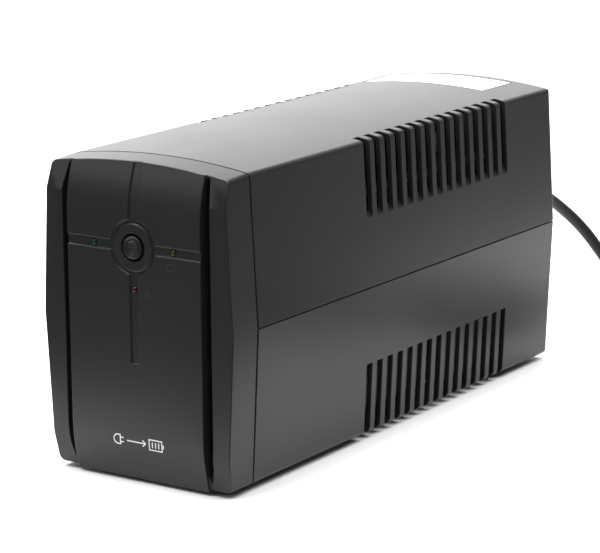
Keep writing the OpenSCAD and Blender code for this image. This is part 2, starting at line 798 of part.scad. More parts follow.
// ---- battery ----
module battery_case() {
    color([0.16, 0.16, 0.17])
        bar(
            [-battery_w / 2, battery_front_y, battery_base_z],
            [battery_w / 2, battery_back_y, battery_top - lid_h]
        );
}
module battery_lid() {
    color([0.2, 0.2, 0.21])
        difference() {
            bar(
                [-battery_w / 2, battery_front_y, battery_top - lid_h],
                [battery_w / 2, battery_back_y, battery_top]
            );
            for (x = [-terminal_x, terminal_x])
                bar([x - 6, terminal_y - 6, battery_top - 4], [x + 6, terminal_y + 6, battery_top + 1]);
            for (y = [-70:20:10]) bar([-12, y, battery_top - 0.6], [12, y + 1, battery_top + 1]);
        }
}
module battery_terminals() {
    color([0.75, 0.7, 0.6])
        for (x = [-terminal_x, terminal_x]) {
            bar([x - 3.15, terminal_y - 0.4, battery_top - 4], [x + 3.15, terminal_y + 0.4, battery_top + 4]);
            bar([x - 3.15, terminal_y - 3, battery_top - 4], [x + 3.15, terminal_y - 0.4, battery_top - 3.2]);
        }
}
module battery_pads() {
    color([0.25, 0.25, 0.26])
        for (y = [-95, 15]) bar([-30, y, base_z + wall], [30, y + 14, battery_base_z]);
}
// Steel strap over the battery, bent down each side to a screwed foot
module battery_strap() {
    half = battery_w / 2;
    outer = mirrored([[half + 1.5, strap_foot_z], [half + 1.5, battery_top + 1.5]]);
    inner_half = half + 0.3;
    inner_top = battery_top + 0.3;
    inner = [[-inner_half, inner_top], [inner_half, inner_top], [inner_half, 30], [-inner_half, 30]];
    color([0.62, 0.63, 0.65])
        difference() {
            union() {
                along_y(outer, strap_y - strap_w / 2, strap_y + strap_w / 2);
                both_sides()
                    bar(
                        [half + 0.3, strap_y - strap_w / 2, strap_foot_z],
                        [43.2, strap_y + strap_w / 2, strap_foot_z + 1.2]
                    );
            }
            along_y(inner, strap_y - strap_w, strap_y + strap_w);
            both_sides() rod_z(post_x, strap_y, 1.7, 30, 50);
        }
}
module strap_screws() {
    color([0.6, 0.6, 0.62])
        both_sides() translate([post_x, strap_y, strap_foot_z + 1.2]) mirror([0, 0, 1]) screw(3, 2, 1.4, 7);
}
// A tab receptacle pushed down on a battery tab, with its lead to the main board
module battery_lead(x) {
    translate([x, terminal_y, battery_top])
        difference() {
            bar([-4, -1.6, 0.6], [4, 1.6, 8]);
            bar([-3.3, -0.5, -1], [3.3, 0.5, 4.2]);
        }
    tube([
        [x, terminal_y, battery_top + 7.5], [x, terminal_y - 1.5, battery_top + 12],
        [x, terminal_y, battery_top + 17.5],
        [x, terminal_y + 5, battery_top + 22], [x, terminal_y + 12, battery_top + 23],
        [x, terminal_y + 17, battery_top + 20], [x, terminal_y + 18, board_top + 5]
    ], 1.7, [1, 0.05, 0]);
}
module battery_lead_red() {
    color([0.6, 0.05, 0.05]) battery_lead(terminal_x);
}
module battery_lead_black() {
    color([0.05, 0.05, 0.05]) battery_lead(-terminal_x);
}

// ---- transformer ----
module transformer_core() {
    window_low = core_base_z + yoke;
    window_high = core_top - yoke;
    color([0.35, 0.34, 0.33])
        difference() {
            bar([-core_half, stack_front, core_base_z], [core_half, stack_back, core_top]);
            both_sides() bar([yoke, 0, window_low], [2 * yoke, 120, window_high]);
            both_sides() for (z = [core_base_z + 4, core_top - 4]) rod_y(core_half - 4, z, 2.1, 0, 120);
        }
}
// The former's tube round the centre leg, with a flange at each end
module transformer_bobbin() {
    leg = yoke + 0.2;
    flange_x = 2 * yoke - 0.3;
    color([0.9, 0.9, 0.85])
        difference() {
            union() {
                bar(
                    [-leg - 1.2, stack_front - 1.4, coil_low - 1.4],
                    [leg + 1.2, stack_back + 1.4, coil_high + 1.4]
                );
                for (z = [coil_low - 1.4, coil_high + 0.2])
                    bar([-flange_x, core_y - coil_half_y, z], [flange_x, core_y + coil_half_y, z + 1.2]);
            }
            bar([-leg, stack_front - 0.2, 0], [leg, stack_back + 0.2, 100]);
        }
}
module transformer_windings() {
    leg = yoke + 1.6;
    color([0.65, 0.35, 0.12])
        difference() {
            along_z(round_box(coil_half_x - 0.4, coil_half_y - 0.6, 5), coil_low, coil_high);
            bar([-leg, stack_front - 1.6, 0], [leg, stack_back + 1.6, 100]);
        }
}
function round_box(hx, hy, r) = concat(
    arc([hx - r, hy - r], r, 0, 90, 5), arc([r - hx, hy - r], r, 90, 180, 5),
    arc([r - hx, r - hy], r, 180, 270, 5), arc([hx - r, r - hy], r, 270, 360, 5)
);
module along_z(points, z0, z1) {
    translate([0, core_y, z0]) linear_extrude(z1 - z0) polygon(points);
}
// Steel angles on both faces of the stack, with feet on the floor bosses
module transformer_angles() {
    color([0.6, 0.6, 0.62])
        for (s = [0, 1])
            translate([0, core_y, 0]) mirror([0, s, 0]) {
                difference() {
                    union() {
                        bar(
                            [-core_half, stack_t / 2, core_base_z],
                            [core_half, stack_t / 2 + 1.4, core_base_z + 9]
                        );
                        bar([-34, stack_t / 2, core_base_z], [34, stack_t / 2 + 7.4, core_base_z + 1.2]);
                    }
                    both_sides() rod_z(core_screw_x, stack_t / 2 + 4.5, 1.7, 0, 20);
                    both_sides() rod_y(core_half - 4, core_base_z + 4, 2.1, 0, 60);
                }
            }
}
module transformer_bolts() {
    color([0.65, 0.65, 0.67])
        both_sides() for (z = [core_base_z + 4, core_top - 4])
            translate([core_half - 4, 0, z]) {
                over = z < 20 ? 1.4 : 0;
                rod_y(0, 0, 1.9, stack_front - over - 1, stack_back + over + 3.4);
                translate([0, stack_front - over, 0]) rotate([90, 0, 0]) cylinder(r = 3.1, h = 2, $fn = 6);
                translate([0, stack_back + over + 2.4, 0]) rotate([90, 0, 0])
                    cylinder(r = 3.1, h = 2.4, $fn = 6);
            }
}
module transformer_screws() {
    color([0.6, 0.6, 0.62])
        both_sides() for (y = core_screw_y)
            translate([core_screw_x, y, core_base_z + 1.2]) mirror([0, 0, 1]) screw(2.8, 1.8, 1.4, 3.5);
}
module transformer_leads() {
    color([0.75, 0.7, 0.1])
        for (i = [0:3])
            let (x = -15 + i * 10)
            tube([
                [x, core_y - 22, coil_high + 1.8], [x, core_y - 24, coil_high + 10],
                [x, core_y - 24, coil_high + 24],
                [x * 0.8, core_y - 22, coil_high + 38], [x * 0.8, core_y - 20, board_z - 2.5]
            ], 1.2, [1, 0.1, 0], 6);
}

// ---- main board ----
module main_board() {
    color([0.12, 0.3, 0.14])
        difference() {
            bar([-board_half, board_front_y, board_z], [board_half, board_back_y, board_top]);
            both_sides() for (y = board_post_y) rod_z(board_post_x, y, 1.7, 100, 120);
            for (x = [-terminal_x, terminal_x]) rod_z(x, terminal_y + 18, 2.2, 100, 120);
        }
}
module board_screws() {
    color([0.6, 0.6, 0.62])
        both_sides() for (y = board_post_y) translate([board_post_x, y, board_z]) screw(2.8, 1.8, 1.2, 9);
}
module relays() {
    color([0.1, 0.1, 0.12])
        for (i = [0:3]) translate([-36, -10 + i * 21, board_top]) cube([19, 15.5, 15.5]);
}
module capacitors() {
    color([0.1, 0.1, 0.25]) {
        for (i = [0:2]) rod_z(-30 + i * 15, -60, 6.3, board_top, board_top + 19);
        for (i = [0:3]) rod_z(6, -36 + i * 12, 4, board_top, board_top + 12);
    }
    color([0.75, 0.6, 0.15]) bar([6, 22, board_top], [24, 30, board_top + 14]);
}
module heat_sink() {
    color([0.06, 0.06, 0.065]) {
        bar([sink_x, -40, board_top], [sink_x + 2, 40, board_top + 20]);
        for (i = [0:7])
            bar([sink_x + 1.5, -40 + i * 11.1, board_top], [sink_x + 8, -38 + i * 11.1, board_top + 19]);
    }
}
module power_transistors() {
    color([0.08, 0.08, 0.08])
        for (i = [0:3]) bar([sink_x - 4.6, -34 + i * 17, board_top + 4], [sink_x, -24 + i * 17, board_top + 19]);
    color([0.75, 0.75, 0.75])
        for (i = [0:3], k = [0:2])
            bar(
                [sink_x - 2.6, -31.9 + i * 17 + k * 2.5, board_top],
                [sink_x - 2, -31.1 + i * 17 + k * 2.5, board_top + 4]
            );
}
module board_fuse() {
    color([0.2, 0.35, 0.6]) bar([18, -74, board_top + 3], [30, -70.5, board_top + 15]);
    color([0.7, 0.7, 0.7]) {
        bar([18.5, -72.6, board_top], [22, -71.8, board_top + 3]);
        bar([26, -72.6, board_top], [29.5, -71.8, board_top + 3]);
    }
}
module board_chips() {
    color([0.07, 0.07, 0.07]) {
        bar([-30, -44, board_top + 0.4], [-6, -36.5, board_top + 4]);
        bar([-30, -30, board_top + 0.4], [-20, -23.5, board_top + 4]);
        bar([-14, -30, board_top + 0.4], [-4, -23.5, board_top + 4]);
    }
    color([0.75, 0.75, 0.75])
        for (i = [0:8], y = [-44.6, -36.5])
            bar([-29 + i * 2.54, y, board_top], [-28.3 + i * 2.54, y + 0.6, board_top + 2.2]);
}
module board_connectors() {
    color([0.92, 0.9, 0.84]) {
        bar([-8.5, -93, board_top], [8.5, -86, board_top + 14]);
        bar([-12, 70, board_top], [20, 79, board_top + 10]);
        for (x = [-terminal_x, terminal_x])
            difference() {
                bar([x - 4, terminal_y + 14, board_top], [x + 4, terminal_y + 22, board_top + 5]);
                rod_z(x, terminal_y + 18, 2.2, 100, 140);
            }
    }
}

// ---- mains wiring ----
module lead_to_board(points, r = 1.3) {
    tube(points, r, [1, 0.1, 0], 6);
}
// A receptacle on one outlet tab, open where the tab goes in
module tab_receptacle(x, z) {
    difference() {
        bar([x - 4, outlet_back_y - 5, z - 1.7], [x + 4, outlet_back_y - 0.5, z + 1.7]);
        bar([x - 3.1, outlet_back_y - 4.2, z - 0.5], [x + 3.1, outlet_back_y, z + 0.5]);
    }
}
module outlet_wiring_live() {
    x = outlet_x - pin_pitch / 2;
    color([0.4, 0.22, 0.1]) {
        for (z = [outlet_low_z, outlet_high_z]) tab_receptacle(x, z);
        lead_to_board([
            [x, 95, outlet_low_z + 1], [-26, 94.5, 56], [-23, 94, 70], [-22.5, 92.5, 90], [-20, 90.5, 106],
            [-14, 89, 116], [-10, 86, 120], [-9, wire_y, wire_z]
        ]);
        lead_to_board([
            [x, 95, outlet_high_z + 1], [-27, 94, 104], [-23, 92, 111],
            [-15, 91, 118], [-7, 89, 124], [-5, 84, 122.5],
            [-5, wire_y, wire_z]
        ]);
    }
}
module outlet_wiring_neutral() {
    x = outlet_x + pin_pitch / 2;
    color([0.1, 0.2, 0.6]) {
        for (z = [outlet_low_z, outlet_high_z]) tab_receptacle(x, z);
        lead_to_board([
            [x, 95, outlet_low_z + 1], [-7, 94.5, 56], [-4, 94, 70], [-3.5, 93, 90], [-2.5, 91, 106],
            [-1, 89.5, 116], [0.5, 86, 120.5], [1, wire_y, wire_z]
        ]);
        lead_to_board([
            [x, 95, outlet_high_z + 1], [-8, 95, 105], [-3, 95.2, 113],
            [3, 94, 120], [5, 89, 124], [5, 84, 122.5],
            [5, wire_y, wire_z]
        ]);
    }
}
// The lead's earth core, and the link that joins the earth clips of both outlets
module earth_wiring() {
    color([0.45, 0.6, 0.1]) {
        lead_to_board([
            [lead_x, 127, lead_z - 1.6], [18, 120, 76], [8, 112, 73], [-2, 105, 71], [-10, 100, 71],
            [outlet_x + 1.3, 95.5, 71]
        ], 1.1);
        tube([
            [outlet_x, 95.5, outlet_low_z + 19.5], [outlet_x, 95.5, 71], [outlet_x, 95.5, outlet_high_z - 19.5]
        ], 1.1, [1, 0.1, 0], 6);
    }
}
module inlet_cores() {
    color([0.4, 0.22, 0.1])
        lead_to_board([
            [lead_x - 1.4, 127.2, lead_z + 0.9], [21.5, 120, 85], [18, 110, 94], [14, 100, 104], [11.5, 92, 114],
            [10, 87, 120.5], [10, wire_y, wire_z]
        ]);
    color([0.1, 0.2, 0.6])
        lead_to_board([
            [lead_x + 1.4, 127.2, lead_z + 0.9], [26.5, 120, 85], [24, 110, 94], [20, 100, 104], [17, 92, 114],
            [15, 87, 120.5], [15, wire_y, wire_z]
        ]);
}

upper_shell();
lower_shell();
front_bezel();
rating_label();
rubber_feet();
housing_screws();
power_button();
switch_plunger();
switch_body();
front_board();
front_board_screws();
lamp_green();
lamp_amber();
lamp_red();
panel_ribbon();
rear_panel();
outlet_upper();
outlet_lower();
outlet_contacts();
outlet_earth_clips();
breaker_body();
breaker_nut();
reset_button();
outlet_wiring_live();
outlet_wiring_neutral();
earth_wiring();
strain_relief();
power_cord();
cord_coil();
cord_tail();
plug_body();
plug_pins();
plug_earth_contacts();
inlet_cores();
battery_case();
battery_lid();
battery_terminals();
battery_pads();
battery_strap();
strap_screws();
battery_lead_red();
battery_lead_black();
transformer_core();
transformer_bobbin();
transformer_windings();
transformer_angles();
transformer_bolts();
transformer_screws();
transformer_leads();
main_board();
board_screws();
relays();
capacitors();
power_transistors();
heat_sink();
board_fuse();
board_chips();
board_connectors();
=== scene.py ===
import json
import math

import bmesh
import bpy
from mathutils import Matrix, Vector


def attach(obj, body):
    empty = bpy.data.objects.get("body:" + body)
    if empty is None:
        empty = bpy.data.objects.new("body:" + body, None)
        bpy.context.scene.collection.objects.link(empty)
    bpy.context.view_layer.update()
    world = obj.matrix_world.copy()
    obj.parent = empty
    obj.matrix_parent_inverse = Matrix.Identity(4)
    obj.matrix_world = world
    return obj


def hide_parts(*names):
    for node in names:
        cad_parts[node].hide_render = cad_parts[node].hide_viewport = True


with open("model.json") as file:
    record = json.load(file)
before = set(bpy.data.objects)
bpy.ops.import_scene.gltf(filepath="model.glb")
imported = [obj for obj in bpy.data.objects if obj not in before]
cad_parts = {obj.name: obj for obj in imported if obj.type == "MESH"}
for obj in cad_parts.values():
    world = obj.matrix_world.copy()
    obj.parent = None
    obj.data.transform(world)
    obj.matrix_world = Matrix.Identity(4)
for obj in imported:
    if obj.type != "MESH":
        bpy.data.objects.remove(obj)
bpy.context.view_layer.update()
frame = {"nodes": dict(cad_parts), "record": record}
MM = 0.001
NODES = frame["nodes"]
SLOT_OF = {s["node"]: s["material_slot"] for s in frame["record"]["subparts"]}
BODY_OF = {node: body for body, nodes in frame["record"]["behaviour"]["bodies"].items() for node in nodes}


# ---- camera ----
def make_camera(place, azimuth, elevation, roll, lens):
    """A camera that looks along azimuth (0 along +Y, 90 along -X) and down by elevation, in degrees."""
    a, e, r = (math.radians(v) for v in (azimuth, elevation, roll))
    ahead = Vector((-math.sin(a) * math.cos(e), math.cos(a) * math.cos(e), -math.sin(e)))
    right = ahead.cross(Vector((0, 0, 1))).normalized()
    up = right.cross(ahead)
    turned_right = right * math.cos(r) + up * math.sin(r)
    turned_up = up * math.cos(r) - right * math.sin(r)
    data = bpy.data.cameras.new("camera")
    data.sensor_fit = "HORIZONTAL"
    data.sensor_width = 36
    data.lens = lens
    data.clip_start, data.clip_end = 0.05, 30
    camera = bpy.data.objects.new("camera", data)
    turn = Matrix((turned_right, turned_up, -ahead)).transposed()
    camera.matrix_world = Matrix.Translation(place) @ turn.to_4x4()
    bpy.context.scene.collection.objects.link(camera)
    bpy.context.scene.camera = camera


make_camera(Vector((0.66398, -0.99233, 0.34580)), 34.1536, 13.2492, -0.5213, 156.922)


# ---- materials ----
class Shader:
    """A small wrapper round one node material."""

    def __init__(self, name):
        self.material = bpy.data.materials.new(name)
        self.material.use_nodes = True
        self.tree = self.material.node_tree
        self.bsdf = self.tree.nodes["Principled BSDF"]
        self.place = self.add("ShaderNodeTexCoord").outputs["Object"]

    def add(self, kind, **values):
        node = self.tree.nodes.new(kind)
        for key, value in values.items():
            setattr(node, key, value)
        return node

    def link(self, a, b):
        self.tree.links.new(a, b)

    def set(self, **values):
        for key, value in values.items():
            socket = self.bsdf.inputs[key.replace("_", " ")]
            socket.default_value = value

    def stretched(self, scale):
        node = self.add("ShaderNodeMapping")
        node.inputs["Scale"].default_value = scale
        self.link(self.place, node.inputs["Vector"])
        return node.outputs["Vector"]

    def noise(self, size, detail=3.0, rough=0.55, vector=None):
        """Noise whose features are about size metres across."""
        node = self.add("ShaderNodeTexNoise")
        node.inputs["Scale"].default_value = 1 / size
        node.inputs["Detail"].default_value = detail
        node.inputs["Roughness"].default_value = rough
        self.link(vector or self.place, node.inputs["Vector"])
        return node.outputs["Fac"]

    def spread(self, value, low, high, from_low=0.3, from_high=0.7):
        node = self.add("ShaderNodeMapRange")
        node.inputs["From Min"].default_value = from_low
        node.inputs["From Max"].default_value = from_high
        node.inputs["To Min"].default_value = low
        node.inputs["To Max"].default_value = high
        self.link(value, node.inputs["Value"])
        return node.outputs["Result"]

    def mix(self, factor, a, b):
        node = self.add("ShaderNodeMix", data_type="RGBA")
        self.link(factor, node.inputs["Factor"])
        for socket, value in ((node.inputs[6], a), (node.inputs[7], b)):
            if isinstance(value, (tuple, list)):
                socket.default_value = (*value[:3], 1)
            else:
                self.link(value, socket)
        return node.outputs[2]

    def bump(self, height, distance, before=None):
        node = self.add("ShaderNodeBump")
        node.inputs["Strength"].default_value = 1.0
        node.inputs["Distance"].default_value = distance
        self.link(height, node.inputs["Height"])
        if before is not None:
            self.link(before, node.inputs["Normal"])
        return node.outputs["Normal"]


def shade(colour, factor):
    return tuple(min(1.0, c * factor) for c in colour[:3])


def surface(name, colour, rough, grain=0.0004, depth=0.00002, patchy=0.06, uneven=0.05, dust=0.0, **sockets):
    """A moulded, painted or metal surface: fine grain, slow changes of tone and gloss, and a little dust."""
    s = Shader(name)
    slow = s.noise(0.035, 4)
    tone = s.mix(s.spread(slow, 0.0, 1.0), shade(colour, 1 - patchy), shade(colour, 1 + patchy))
    if dust:
        specks = s.spread(s.noise(0.0016, 2), 0.0, dust, 0.62, 0.8)
        tone = s.mix(specks, tone, (0.35, 0.35, 0.35))
    s.link(tone, s.bsdf.inputs["Base Color"])
    gloss = s.spread(s.noise(0.012, 5), rough - uneven, rough + uneven)
    s.link(gloss, s.bsdf.inputs["Roughness"])
    fine = s.bump(s.noise(grain, 2), depth)
    s.link(fine, s.bsdf.inputs["Normal"])
    s.set(**sockets)
    return s


def brushed(name, colour, rough, along=0):
    """Metal with fine lines along one axis."""
    s = Shader(name)
    scale = [1.0, 1.0, 1.0]
    scale[along] = 0.04
    lines = s.noise(0.0004, 3, 0.6, s.stretched(scale))
    tone = s.mix(s.spread(lines, 0.0, 1.0), shade(colour, 0.85), shade(colour, 1.08))
    s.link(tone, s.bsdf.inputs["Base Color"])
    s.link(s.spread(lines, rough - 0.08, rough + 0.1), s.bsdf.inputs["Roughness"])
    s.link(s.bump(lines, 0.000012), s.bsdf.inputs["Normal"])
    s.set(Metallic=1.0)
    return s


def housing_plastic(name, colour, rough):
    """Spark-eroded moulded plastic: two sizes of grain, faint flow marks and a trace of handling."""
    s = Shader(name)
    slow = s.noise(0.05, 4, 0.5)
    tone = s.mix(s.spread(slow, 0.0, 1.0), shade(colour, 0.96), shade(colour, 1.04))
    fleck = s.spread(s.noise(0.0006, 1), 0.0, 0.4, 0.45, 0.75)
    tone = s.mix(fleck, tone, shade(colour, 1.3))
    rub = s.spread(s.noise(0.03, 6, 0.7, s.stretched((1.0, 0.35, 1.0))), 0.0, 0.08, 0.6, 0.8)
    tone = s.mix(rub, tone, shade(colour, 1.8))
    s.link(tone, s.bsdf.inputs["Base Color"])
    s.link(s.spread(s.noise(0.06, 3, 0.5), rough - 0.015, rough + 0.015), s.bsdf.inputs["Roughness"])
    coarse = s.bump(s.noise(0.0009, 2), 0.000022)
    fine = s.bump(s.noise(0.00035, 2), 0.000022, before=coarse)
    s.link(fine, s.bsdf.inputs["Normal"])
    s.set(Specular_IOR_Level=0.4)
    return s


def board_shader(name):
    """Green solder mask over copper tracks."""
    s = Shader(name)
    grid = s.add("ShaderNodeTexBrick")
    grid.inputs["Scale"].default_value = 90
    grid.inputs["Mortar Size"].default_value = 0.09
    grid.inputs["Color1"].default_value = (0.0025, 0.012, 0.005, 1)
    grid.inputs["Color2"].default_value = (0.003, 0.015, 0.006, 1)
    grid.inputs["Mortar"].default_value = (0.007, 0.03, 0.012, 1)
    s.link(s.place, grid.inputs["Vector"])
    s.link(grid.outputs["Color"], s.bsdf.inputs["Base Color"])
    s.link(s.spread(s.noise(0.004), 0.28, 0.42), s.bsdf.inputs["Roughness"])
    s.link(s.bump(grid.outputs["Fac"], 0.00003), s.bsdf.inputs["Normal"])
    return s


def lamp_shader(name, colour):
    """A dark, tinted, slightly milky lens."""
    s = Shader(name)
    tint = s.mix(s.spread(s.noise(0.001), 0.0, 1.0), shade(colour, 0.8), shade(colour, 1.2))
    s.link(tint, s.bsdf.inputs["Base Color"])
    s.link(s.spread(s.noise(0.0015), 0.06, 0.12), s.bsdf.inputs["Roughness"])
    s.link(s.bump(s.noise(0.0008), 0.00001), s.bsdf.inputs["Normal"])
    s.set(IOR=1.5)
    return s


BLACK = (0.0125, 0.0132, 0.0142)
MATERIALS = {
    "shell_plastic": housing_plastic("shell_plastic", BLACK, 0.34),
    "bezel_plastic": housing_plastic("bezel_plastic", shade(BLACK, 0.95), 0.34),
    "button_plastic": housing_plastic("button_plastic", shade(BLACK, 0.9), 0.38),
    "rear_plastic": housing_plastic("rear_plastic", BLACK, 0.42),
    "outlet_plastic": surface("outlet_plastic", (0.018, 0.018, 0.019), 0.3, dust=0.03),
    "label_film": surface("label_film", (0.86, 0.87, 0.88), 0.35, grain=0.0003, depth=0.000006, patchy=0.015),
    "rubber": surface("rubber", (0.015, 0.015, 0.015), 0.75, dust=0.12),
    "zinc_steel": brushed("zinc_steel", (0.6, 0.6, 0.61), 0.32),
    "nylon": surface("nylon", (0.75, 0.73, 0.66), 0.45),
    "black_component": surface("black_component", (0.025, 0.025, 0.027), 0.4, dust=0.04),
    "circuit_board": board_shader("circuit_board"),
    "lamp_green": lamp_shader("lamp_green", (0.001, 0.018, 0.013)),
    "lamp_amber": lamp_shader("lamp_amber", (0.022, 0.018, 0.002)),
    "lamp_red": lamp_shader("lamp_red", (0.03, 0.001, 0.005)),
    "ribbon_grey": brushed("ribbon_grey", (0.4, 0.4, 0.42), 0.5, 1),
    "brass": brushed("brass", (0.75, 0.56, 0.26), 0.3, 1),
    "spring_steel": brushed("spring_steel", (0.72, 0.71, 0.69), 0.25, 1),
    "wire_brown": surface("wire_brown", (0.16, 0.07, 0.03), 0.4),
    "wire_blue": surface("wire_blue", (0.01, 0.035, 0.15), 0.4),
    "wire_earth": surface("wire_earth", (0.35, 0.5, 0.05), 0.4),
    "cord_pvc": surface("cord_pvc", (0.016, 0.016, 0.017), 0.42, grain=0.0007, depth=0.00002, dust=0.05),
    "plug_pvc": surface("plug_pvc", (0.018, 0.018, 0.019), 0.4, grain=0.0005, depth=0.00002, dust=0.05),
    "battery_plastic": surface("battery_plastic", (0.05, 0.05, 0.055), 0.45, dust=0.05),
    "foam": surface("foam", (0.05, 0.05, 0.05), 0.9, grain=0.001, depth=0.0001),
    "strap_steel": brushed("strap_steel", (0.55, 0.56, 0.57), 0.35, 2),
    "wire_red": surface("wire_red", (0.45, 0.02, 0.02), 0.4),
    "wire_black": surface("wire_black", (0.015, 0.015, 0.015), 0.4),
    "lamination": brushed("lamination", (0.2, 0.18, 0.16), 0.5, 0),
    "copper": brushed("copper", (0.6, 0.25, 0.1), 0.35, 0),
    "wire_yellow": surface("wire_yellow", (0.5, 0.42, 0.03), 0.4),
    "capacitor_sleeve": surface("capacitor_sleeve", (0.008, 0.008, 0.03), 0.35),
    "black_anodised": brushed("black_anodised", (0.02, 0.02, 0.022), 0.5, 1),
    "fuse_blue": surface("fuse_blue", (0.02, 0.05, 0.15), 0.3),
}


# Finishes that share a record slot with another surface. The first is painted shade: near-black laid on the
# groove floors, the vent slots' side walls and the shells' insides, where shade falls.
PAINTED_SHADE = surface("painted_shade_black", (0.003, 0.003, 0.003), 0.7, patchy=0.2, Specular_IOR_Level=0.08)
SILVER_INK = surface("silver_ink", (0.62, 0.63, 0.64), 0.4, grain=0.0002, depth=0.000004, patchy=0.03)
FAINT_INK = surface("faint_ink", shade(BLACK, 2.3), 0.38, grain=0.0003, depth=0.00001)


def paint(obj, slot_name, shader=None):
    obj.data.materials.clear()
    obj.data.materials.append((shader or MATERIALS[slot_name]).material)


def new_object(name, bm):
    mesh = bpy.data.meshes.new(name)
    bm.to_mesh(mesh)
    bm.free()
    obj = bpy.data.objects.new(name, mesh)
    bpy.context.scene.collection.objects.link(obj)
    return obj


def smooth_by_angle(obj, angle=30):
    for face in obj.data.polygons:
        face.use_smooth = True
    obj.data.set_sharp_from_angle(angle=math.radians(angle))


# ---- the housing's main dimensions, in millimetres, as in the CAD ----
HALF_W, PART_Z, DRAFT = 50.5, 72.0, math.tan(math.radians(3.04))
CROWN_Z, CROWN_R, BASE_Z = 142.0, 300.0, 2.5
FRONT_Y, PLATE_Y = -139.5, 132.5
GROOVE_X, GROOVE_Z, GROOVE_DEEP = (35.3, 37.6), (7, 139), 1.2
VENT_X, VENT_Y = 34, (-40, 110)
# faces more than this far below the outer skin get painted shade
SKIN = 0.75
CROSS_Z, LAMP_AT, LAMP_HOLE_R = 105.0, (21.0, 86.6), 1.8
ROLL_TOP, ROLL_BOTTOM = (116, 60), (24, 70)


def skin_depth(p):
    """How far a point lies below the housing's outer surface."""
    side = HALF_W - abs(p.z - PART_Z) * DRAFT - abs(p.x)
    top = CROWN_Z - CROWN_R + math.sqrt(CROWN_R ** 2 - p.x ** 2) - p.z
    return min(side, top, p.z - BASE_Z)


def panel_y(z):
    """The centre panel's face at a height: upright in the middle, rolling back towards both ends."""
    for past, r in ((z - ROLL_TOP[0], ROLL_TOP[1]), (ROLL_BOTTOM[0] - z, ROLL_BOTTOM[1])):
        if past > 0:
            return FRONT_Y + r - math.sqrt(r * r - past * past)
    return FRONT_Y


def in_groove(p, normal):
    """Deep between the centre panel and a side pillar; these faces get painted shade."""
    across = GROOVE_X[0] < abs(p.x) < GROOVE_X[1] and GROOVE_Z[0] < p.z < GROOVE_Z[1]
    return across and p.y > panel_y(p.z) + GROOVE_DEEP


def in_vent(p, normal):
    """Inside the shells, or on the side walls of their slots: the faces that get painted shade."""
    slot_wall = abs(normal.y) > 0.9 and VENT_Y[0] < p.y < VENT_Y[1] and abs(p.x) > VENT_X
    return p.y < PLATE_Y and (skin_depth(p) > SKIN or slot_wall)


def round_lamp(p):
    """At the rim of one of the three lamp holes."""
    side = math.hypot(abs(p.x) - LAMP_AT[0], p.z - CROSS_Z)
    low = math.hypot(p.x, p.z - LAMP_AT[1])
    return min(side, low) < LAMP_HOLE_R


# ---- the CAD nodes: their own shape, with rounded edges, finished surfaces and painted shade in recesses ----
def finished(name, width, dark=None, keep=None):
    """A copy of a CAD node with its coplanar triangles joined and its sharp edges rounded, apart from those
    that keep(point) leaves. Folds between broad faces stay crisp, and dark(point, normal) faces get painted
    shade, a near-black second material."""
    bm = bmesh.new()
    bm.from_mesh(NODES[name].data)
    bmesh.ops.remove_doubles(bm, verts=bm.verts, dist=0.03 * MM)
    bmesh.ops.dissolve_degenerate(bm, edges=bm.edges, dist=0.02 * MM)
    bmesh.ops.dissolve_limit(bm, angle_limit=math.radians(0.4), verts=bm.verts, edges=bm.edges)
    bm.normal_update()
    broad = {face: face.calc_area() / face.calc_perimeter() > 1.2 * MM for face in bm.faces}
    corners = []
    for edge in bm.edges:
        if len(edge.link_faces) != 2:
            continue
        angle = math.degrees(edge.calc_face_angle())
        if angle > 28:
            if not (keep and all(keep(v.co / MM) for v in edge.verts)):
                corners.append(edge)
        elif angle > 3 and all(broad[face] for face in edge.link_faces):
            edge.smooth = False
    bmesh.ops.bevel(
        bm, geom=corners, offset=width * MM, offset_type="OFFSET", segments=3, profile=0.5,
        affect="EDGES", clamp_overlap=False, loop_slide=True,
    )
    for face in bm.faces:
        face.smooth = True
        if dark and dark(face.calc_center_median() / MM, face.normal):
            face.material_index = 1
    copy = new_object(name + "_finished", bm)
    weighted = copy.modifiers.new("weighted", "WEIGHTED_NORMAL")
    weighted.keep_sharp = True
    paint(copy, SLOT_OF[name])
    # the second material is painted shade on the recess faces picked above
    if dark:
        copy.data.materials.append(PAINTED_SHADE.material)
    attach(copy, BODY_OF[name])
    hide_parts(name)
    return copy


FINISHED = {
    "upper_shell": (0.35, in_vent), "lower_shell": (0.35, in_vent),
    "front_bezel": (0.45, in_groove, round_lamp),
    "outlet_upper": (0.15,), "outlet_lower": (0.15,), "plug_body": (0.3,),
}
for name, obj in NODES.items():
    paint(obj, SLOT_OF[name])
    smooth_by_angle(obj)
pieces = {name: finished(name, *how) for name, how in FINISHED.items()}


# ---- the power button ----
def turned(name, profile, place, sides=96):
    """A solid turned about an axis along Y through place, from (radius, y) points."""
    bm = bmesh.new()
    rings = []
    for r, y in profile:
        ring = []
        for i in range(sides if r else 1):
            a = 2 * math.pi * i / sides
            ring.append(bm.verts.new(Vector((place[0] + r * math.cos(a), y, place[1] + r * math.sin(a))) * MM))
        rings.append(ring)
    for one, two in zip(rings, rings[1:]):
        for i in range(sides):
            k = (i + 1) % sides
            if len(one) == 1:
                bm.faces.new((one[0], two[k], two[i]))
            elif len(two) == 1:
                bm.faces.new((one[i], one[k], two[0]))
            else:
                bm.faces.new((one[i], one[k], two[k], two[i]))
    bmesh.ops.recalc_face_normals(bm, faces=bm.faces)
    obj = new_object(name, bm)
    smooth_by_angle(obj, 40)
    return obj


def rounded(r, y, radius, a0, a1, steps=5):
    """Profile points on an arc round (r, y), from angle a0 to a1, where 0 is outwards and 90 is forwards."""
    angles = [math.radians(a0 + (a1 - a0) * i / steps) for i in range(steps + 1)]
    return [(r + radius * math.cos(a), y - radius * math.sin(a)) for a in angles]


